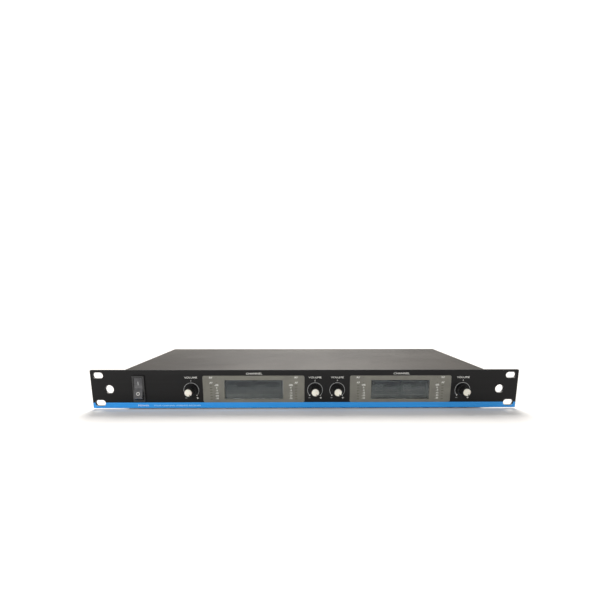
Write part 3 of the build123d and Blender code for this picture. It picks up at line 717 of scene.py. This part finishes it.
def lens_print(number, face, centre):
    """Meter headings, scale marks and the heading on the panel above."""
    piece = Piece(f"print_lens_{number}")
    for side in (-1, 1):
        for word, height in LIGHT_LEVELS.items():
            piece.caption(word, 2.0, 3.6, face @ shifted(side * METER_X, height), WHITE_INK)
        for row, (mark, wide) in enumerate(SCALE_MARKS):
            height = SCALE_TOP - row * SCALE_PITCH
            piece.caption(mark, 1.9, wide, face @ shifted(side * SCALE_X, height), WHITE_INK)
    heading = place(FRONT, centre.x, PANEL_FACE, centre.z)
    piece.caption("CHANNEL", 2.1, 18.0, heading @ shifted(0.8, 17.8), WHITE_INK)
    piece.done()


def segment(length, width):
    """Six-sided bar of a digit, along X."""
    half, w = length / 2, width / 2
    return [(-half, 0), (-half + w, w), (half - w, w), (half, 0), (half - w, -w), (-half + w, -w)]


def ghost_digit(piece, face, x, y, height):
    """The seven faint bars of one unlit digit."""
    width = height * 0.52
    thick = height * 0.12
    for level in (-1, 0, 1):
        where = face @ shifted(x, y + level * height / 2)
        piece.mark([segment(width - thick * 0.4, thick)], where, GHOST, FILM)
    upright = Matrix.Rotation(math.pi / 2, 4, "Z")
    for side in (-1, 1):
        for level in (-1, 1):
            where = face @ shifted(x + side * width / 2, y + level * height / 4) @ upright
            piece.mark([segment(height / 2 - thick * 0.4, thick)], where, GHOST, FILM)


def ghost_display(number):
    """Unlit digits and bars that show faintly in a switched-off display."""
    centre = middle(f"display_lens_{number}")
    glass_low, glass_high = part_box("lcd_glasses")
    face = place(FRONT, centre.x, glass_low.y, (glass_low.z + glass_high.z) / 2)
    piece = Piece(f"lcd_ghost_{number}")
    for side in (-1, 1):
        origin = side * 16.2
        for i in range(2):
            ghost_digit(piece, face, origin - 10.5 + i * 5.0, 1.6, 6.4)
        for i in range(5):
            ghost_digit(piece, face, origin - 0.6 + i * 2.9, 0.4, 3.6)
        for i in range(12):
            piece.mark([box_outline(1.5, 1.4, origin - 12.0 + i * 2.1, -6.6)], face, GHOST, FILM)
        outline = [rounded(28.6, 18.2, 0.8, origin, 0), rounded(28.0, 17.6, 0.6, origin, 0)]
        piece.mark(outline, face, GHOST, FILM)
    piece.done()


# ---- volume knobs, in heights over the panel ----

KNOB_RIBS = 20
RIB_DEPTH = 0.36
GRIP = (3.0, 12.5)
GRIP_R = (5.62, 4.9)
GRIP_STEPS = 14
RIB_END = 12.7
CAP_R = 4.0
CAP_TOP = 14.0
CAP_BASE = 12.25
DOME_R = 12.0
POINTER = math.radians(-60)
POINTER_HALF_WIDTH = 0.62
POINTER_REACH = 0.59


def rib_shape(angle, radius, height):
    """Rounded ribs along the knob's grip, fading out at both ends."""
    if not GRIP[0] < height < RIB_END or radius < 4.7:
        return radius, height
    ripple = math.cos(angle * KNOB_RIBS)
    groove = max(0.0, -ripple) ** 0.7
    fade = min(1.0, (height - GRIP[0]) / 0.8, (RIB_END - height) / 0.6)
    return radius - RIB_DEPTH * groove * fade, height


def dome(radius):
    """Height of the cap's top over the panel."""
    return CAP_TOP - DOME_R + math.sqrt(DOME_R ** 2 - radius ** 2)


def cap_shape(angle, radius, height):
    """Domed cap with a bite out of its edge, which is the knob's pointer."""
    away = (angle - POINTER + math.pi) % (2 * math.pi) - math.pi
    bite = abs(math.sin(away)) * CAP_R < POINTER_HALF_WIDTH and abs(away) < 1.0
    reach = radius * (POINTER_REACH if bite else 1.0)
    if height > 12.6:
        height += dome(reach) - dome(radius)
    return reach, height


def grip_profile():
    """Skirt, tapered grip and a shallow seat for the cap."""
    skirt = [(3.05, 0.5), (5.9, 0.5), (6.12, 0.6), (6.2, 0.8)]
    skirt += [(6.2, 2.3), (6.1, 2.6), (5.85, 2.8), (5.66, 2.88)]
    grip = []
    for i in range(GRIP_STEPS + 1):
        part = i / GRIP_STEPS
        grip.append((GRIP_R[0] + (GRIP_R[1] - GRIP_R[0]) * part, GRIP[0] + (GRIP[1] - GRIP[0]) * part))
    seat = [(4.86, 12.7), (4.74, 12.84), (4.6, 12.9), (4.12, 12.9), (4.06, 12.8), (4.06, 12.2), (0, 12.2)]
    return skirt + grip + seat


def cap_profile():
    """Dome with a rounded rim."""
    rim = dome(CAP_R)
    top = [(CAP_R * part, dome(CAP_R * part)) for part in (0.2, 0.4, 0.6, 0.75, 0.86, 0.93)]
    edge = [(CAP_R - 0.14, rim - 0.02), (CAP_R - 0.04, rim - 0.1), (CAP_R, rim - 0.25)]
    return [(0, CAP_TOP)] + top + edge + [(CAP_R, CAP_BASE), (0, CAP_BASE)]


def volume_knob(number):
    """Ribbed knob and its white cap, which turn together."""
    body = f"knob_{number}"
    centre = middle(f"volume_knob_{number}")
    face = place(FRONT, centre.x, PANEL_FACE, centre.z)
    grip = Piece(f"knob_grip_{number}")
    grip.add(turned(grip_profile(), KNOB_RIBS * 10, rib_shape), face, KNOB_BLACK)
    grip.done(body, replaces=[f"volume_knob_{number}"])
    cap = Piece(f"knob_face_{number}")
    cap.add(turned(cap_profile(), 192, cap_shape), face, CAP_WHITE)
    cap.done(body, replaces=[f"knob_cap_{number}"])


# ---- power switch ----

ROCKER_REACH = 12.3
ROCKER_CROWN = 3.2
ROCKER_WIDTH = 9.6
ROCKER_SLOPE = math.radians(12)
ROCKER_REST = math.radians(-12)
ROCKER_ROLLS = ((-1, 2.6), (1, 1.3))
ROCKER_BASE = -2.6
ROCKER_PIVOT = 1.5


def rocker_outline():
    """Rocker seen from its side: X up and Y out from the pivot, with rolled ends."""
    lean = math.degrees(ROCKER_SLOPE)
    points = [(-ROCKER_REACH + 0.8, ROCKER_BASE)]
    for side, roll in ROCKER_ROLLS:
        along = ROCKER_REACH - roll
        out = ROCKER_CROWN + along * math.tan(ROCKER_SLOPE) - roll / math.cos(ROCKER_SLOPE)
        start, end = (180, 90 + lean) if side < 0 else (90 - lean, 0)
        points += arc(roll, start, end, 8, side * along, out)
        if side < 0:
            points += [(-0.5, ROCKER_CROWN + 0.16), (0.0, ROCKER_CROWN + 0.1), (0.5, ROCKER_CROWN + 0.16)]
    return points + [(ROCKER_REACH - 0.8, ROCKER_BASE)]


def switch_key(pivot_frame):
    """Rocker with rolled ends and a short pin on either side."""
    key = Piece("switch_key")
    side = pivot_frame @ shifted(0, 0, -ROCKER_WIDTH / 2)
    key.add(flat([rocker_outline()], ROCKER_WIDTH, 0.45, 3), side, ROCKER_GREY)
    for depth in (-5.65, 4.75):
        pin = turned([(0, 0), (1.2, 0), (1.2, 0.9), (0, 0.9)], 32)
        key.add(pin, pivot_frame @ shifted(0, 0, depth), ROCKER_GREY)
    key.done("rocker", replaces=["switch_rocker"])


def switch_marks(pivot_frame):
    """The I and O marks, which lie on the rocker's two slopes. The I mark's dim grey ink is painted shade
    on the rocker's darker upper slope.
    """
    marks = Piece("switch_marks")
    line = [rounded(4.2, 0.7, 0.3)]
    ring = [circle(1.9, count=32), circle(1.35, count=32)]
    # The dim grey of the I mark is painted shade; the O mark is in white.
    for up, outlines, finish in ((5.6, line, DIM_INK), (-6.2, ring, WHITE_INK)):
        slope = math.copysign(ROCKER_SLOPE, up)
        out = ROCKER_CROWN + abs(up) * math.tan(ROCKER_SLOPE) + SKIN
        on_slope = Matrix.Rotation(slope, 4, "Z") @ Matrix.Rotation(-math.pi / 2, 4, "X")
        marks.mark(outlines, pivot_frame @ shifted(up, out) @ on_slope, finish, SKIN)
    marks.done("rocker")


def power_switch():
    """Bezel with softened edges, and the rocker at its rest angle."""
    softened("switch_housing", "switch_bezel", 0.22, SWITCH_BLACK)
    pivot = middle("switch_housing")
    side_on = Matrix(((0, 0, 1, 0), (0, -1, 0, 0), (1, 0, 0, 0), (0, 0, 0, 1)))
    tilt = Matrix.Rotation(ROCKER_REST, 4, "Z")
    pivot_frame = Matrix.Translation((pivot.x, PANEL_FACE + ROCKER_PIVOT * MM, pivot.z)) @ side_on @ tilt
    switch_key(pivot_frame)
    switch_marks(pivot_frame)


# ---- rear wall ----

CAPTION_TALL = 2.1
CAPTION_Z = 8.0


def rear_sockets():
    """Sockets and nuts with their edges rounded."""
    softened("antenna_sockets", "antenna_barrels", 0.15, FINISHES["nickel"])
    softened("antenna_nuts", "antenna_ring_nuts", 0.25, FINISHES["nickel"])
    softened("mix_jack_ferrule", "mix_jack_bush", 0.2, FINISHES["nickel"])
    softened("mix_jack_nut", "mix_jack_ring", 0.18, FINISHES["xlr_black"])
    softened("dc_jack_body", "dc_jack_shell", 0.25, FINISHES["xlr_black"])
    for number in range(1, 5):
        softened(f"xlr_housing_{number}", f"output_shell_{number}", 0.3, FINISHES["xlr_black"])


def polarity_sign(piece, sign):
    """Minus ring, socket sign and plus ring in a row, joined by short lines."""
    ring_x = 5.4
    for x in (-ring_x, ring_x):
        piece.mark([circle(1.9, x, 0, 28), circle(1.45, x, 0, 28)], sign, WHITE_INK)
        piece.mark([box_outline(1.7, 0.35, x, 0)], sign, WHITE_INK)
    piece.mark([box_outline(0.35, 1.7, ring_x, 0)], sign, WHITE_INK)
    piece.mark([circle(0.9, 0, 0, 24)], sign, WHITE_INK)
    piece.mark([arc_stroke(2.0, 0.45, 40, 320, 28)], sign, WHITE_INK)
    for x in (-2.75, 1.45):
        piece.mark([box_outline(1.5, 0.4, x, 0)], sign, WHITE_INK)


def rear_captions():
    """Generic captions under the sockets and the polarity sign of the power inlet."""
    face = place(BACK, 0, REAR_WALL, 0)
    piece = Piece("print_rear_captions")
    labels = []
    for number in range(1, 5):
        labels.append((MOUNTS[f"antenna_{number}"].x, f"ANT {number}", 9.4))
        labels.append((MOUNTS[f"output_{number}"].x, f"OUT {number}", 9.8))
    labels.append((middle("mix_jack_nut").x, "MIX OUT", 13.0))
    labels.append((middle("dc_jack_pin").x, "DC IN", 9.0))
    for x, word, wide in labels:
        piece.caption(word, CAPTION_TALL, wide, face @ shifted(-x / MM, CAPTION_Z), WHITE_INK)
    polarity_sign(piece, face @ shifted(-middle("dc_jack_pin").x / MM, 28.2))
    piece.done()


def frequency_box():
    """Printed box with a header strip, and a sticker with four plain bars over it."""
    face = place(BACK, 0, REAR_WALL, 0)
    box = face @ shifted(-163.6, 18.0)
    header_y = 8.3
    piece = Piece("print_frequency_box")
    piece.mark([rounded(42.2, 22.4, 2.0), rounded(41.2, 21.4, 1.6)], box, WHITE_INK)
    piece.mark([rounded(41.4, 5.2, 1.4, 0, header_y)], box, WHITE_INK)
    piece.caption("FREQUENCY", CAPTION_TALL, 26.0, box @ shifted(0, header_y, SKIN), SWITCH_BLACK)
    piece.done()
    sticker = Piece("frequency_sticker")
    thick = 0.12
    where = face @ shifted(-163.9, 15.4, SKIN)
    sticker.add(flat([rounded(14.2, 19.4, 0.5)], thick, 0.03, 1), where, PAPER)
    for row in range(4):
        bar = box_outline(11.4, 0.8, 0, 7.0 - 4.6 * row)
        sticker.mark([bar], where @ shifted(0, 0, thick), SWITCH_BLACK, FILM)
    sticker.done()


def data_plate():
    """Blank ruled data plate in place of a printed notice."""
    where = place(BACK, 0, REAR_WALL, 0) @ shifted(164.5, 19.7)
    thick = 0.1
    piece = Piece("rear_data_plate")
    piece.add(flat([rounded(44.4, 25.4, 1.2)], thick, 0.03, 1), where, PAPER)
    top = where @ shifted(0, 0, thick)
    piece.mark([rounded(42.6, 23.6, 0.8), rounded(41.8, 22.8, 0.6)], top, SWITCH_BLACK, FILM)
    piece.mark([box_outline(41.8, 6.0, 0, 8.2)], top, SWITCH_BLACK, FILM)
    for row, width in enumerate((37.0, 33.0, 38.0, 38.0, 30.0)):
        piece.mark([box_outline(width, 0.9, 0, 2.6 - 2.9 * row)], top, SWITCH_BLACK, FILM)
    piece.done()


# ---- stage, light and camera ----

AMBIENT = 0.26
FLOOR_REACH = 14.0
WARM_WHITE = (1.0, 0.965, 0.92)


def floor():
    """Pale seamless floor."""
    corners = [(x, y, 0) for x, y in box_outline(2 * FLOOR_REACH, 2 * FLOOR_REACH)]
    data = bpy.data.meshes.new("floor")
    data.from_pydata(corners, [], [(0, 1, 2, 3)])
    f = Finish("floor_paper", Specular_IOR_Level=0.2)
    base = f.blend(f.spread(f.noise(3, 3), 0, 1), colour("#f8f8f8"), colour("#fbfbfb"))
    data.materials.append(f.paint(base, f.spread(f.noise(40, 3), 0.7, 0.8)))
    stage = bpy.data.objects.new("floor", data)
    bpy.context.scene.collection.objects.link(stage)


def softbox(name, where, target, width, height, power):
    """Rectangular lamp that faces a point and leaves no glare on the glossy faces."""
    lamp = bpy.data.lights.new(name, "AREA")
    lamp.shape = "RECTANGLE"
    lamp.size = width
    lamp.size_y = height
    lamp.energy = power
    item = bpy.data.objects.new(name, lamp)
    item.location = where
    item.rotation_euler = (Vector(target) - Vector(where)).to_track_quat("-Z", "Y").to_euler()
    item.visible_glossy = False
    bpy.context.scene.collection.objects.link(item)


def back_light(elevation, bearing, spread, strength):
    """Broad even light from behind and above, which throws a soft shadow in front of the object."""
    lamp = bpy.data.lights.new("back_light", "SUN")
    lamp.energy = strength
    lamp.color = WARM_WHITE
    lamp.angle = math.radians(spread)
    item = bpy.data.objects.new("back_light", lamp)
    item.rotation_euler = (math.radians(90 - elevation), 0, math.radians(180 + bearing))
    bpy.context.scene.collection.objects.link(item)


def studio():
    """White backdrop and dim surroundings, with a broad light behind and a soft key in front."""
    world = bpy.data.worlds.new("studio")
    world.use_nodes = True
    nodes = world.node_tree.nodes
    links = world.node_tree.links
    around = nodes["Background"]
    around.inputs["Color"].default_value = (1.0, 0.95, 0.9, 1.0)
    around.inputs["Strength"].default_value = AMBIENT
    backdrop = nodes.new("ShaderNodeBackground")
    backdrop.inputs["Color"].default_value = (1.0, 1.0, 1.0, 1.0)
    backdrop.inputs["Strength"].default_value = 1.1
    seen = nodes.new("ShaderNodeLightPath").outputs["Is Camera Ray"]
    either = nodes.new("ShaderNodeMixShader")
    links.new(seen, either.inputs[0])
    links.new(around.outputs[0], either.inputs[1])
    links.new(backdrop.outputs[0], either.inputs[2])
    links.new(either.outputs[0], nodes["World Output"].inputs[0])
    bpy.context.scene.world = world
    bpy.context.scene.view_settings.view_transform = "Standard"
    back_light(elevation=44, bearing=-1, spread=44, strength=4.2)
    softbox("key", where=(-0.55, -1.3, 0.5), target=(0, -0.09, 0.02), width=0.9, height=0.5, power=14)


def camera():
    """Stands in front, a little above the object, and looks slightly down."""
    data = bpy.data.cameras.new("camera")
    data.sensor_width = 36.0
    data.lens = 23.48
    data.shift_x = -0.0083
    data.shift_y = 0.1333
    data.clip_start = 0.01
    item = bpy.data.objects.new("camera", data)
    item.location = (-0.0044, -0.5248, 0.1252)
    item.rotation_euler = (math.radians(78.07), 0, math.radians(-0.53))
    bpy.context.scene.collection.objects.link(item)
    bpy.context.scene.camera = item


camera()
studio()
floor()
front_band()
for channel in range(1, 5):
    knob_print(channel)
    volume_knob(channel)
for display in (1, 2):
    lens(display)
    ghost_display(display)
power_switch()
rear_sockets()
rear_captions()
frequency_box()
data_plate()
